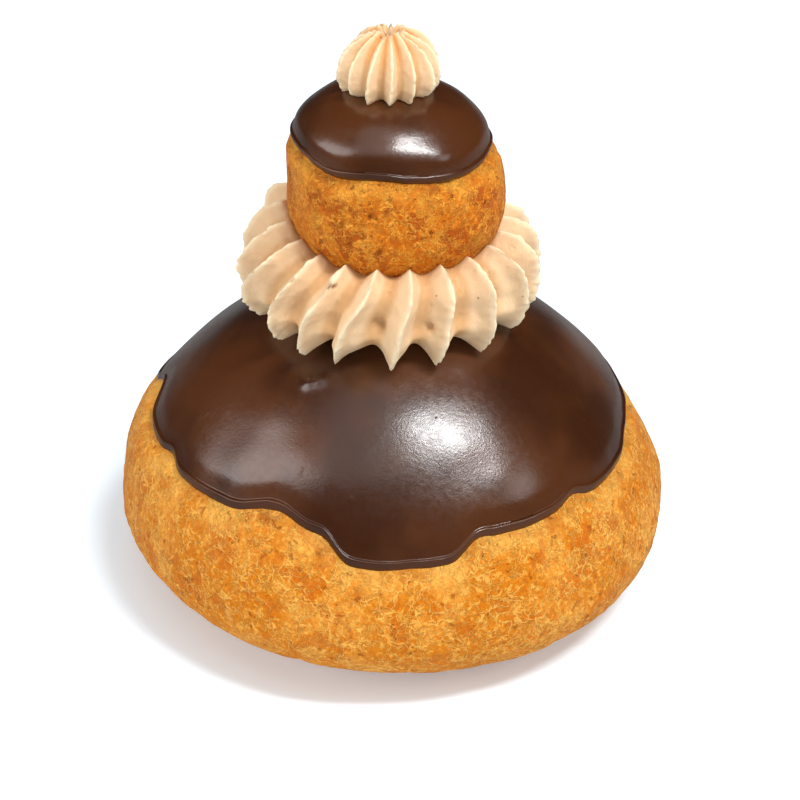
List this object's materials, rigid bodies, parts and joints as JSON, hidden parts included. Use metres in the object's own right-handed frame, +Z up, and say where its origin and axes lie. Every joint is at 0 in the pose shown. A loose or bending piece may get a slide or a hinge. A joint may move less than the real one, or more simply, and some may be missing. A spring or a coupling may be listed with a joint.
{
  "type": "coffee religieuse",
  "caption": "Small iced choux bun set in a ruff of piped coffee cream on a large iced choux bun, with a cream rosette on top.",
  "frame": {"origin": "centre of the underside, on the surface that the pastry stands on", "axes": "+Z up through both buns; -Y is the front that the picture shows; +X to the right of that view"},
  "size_m": [0.0853, 0.0858, 0.0908],
  "materials": {
    "crust": "golden baked choux crust",
    "small_crust": "deeper golden baked choux crust",
    "icing": "satin gloss dark brown fondant icing",
    "cream": "piped coffee butter cream"
  },
  "bodies": {
    "root": {"large_choux": "crust", "large_icing": "icing", "cream_ruff": "cream", "small_choux": "small_crust", "small_icing": "icing", "cream_rosette": "cream"}
  },
  "joints": []
}
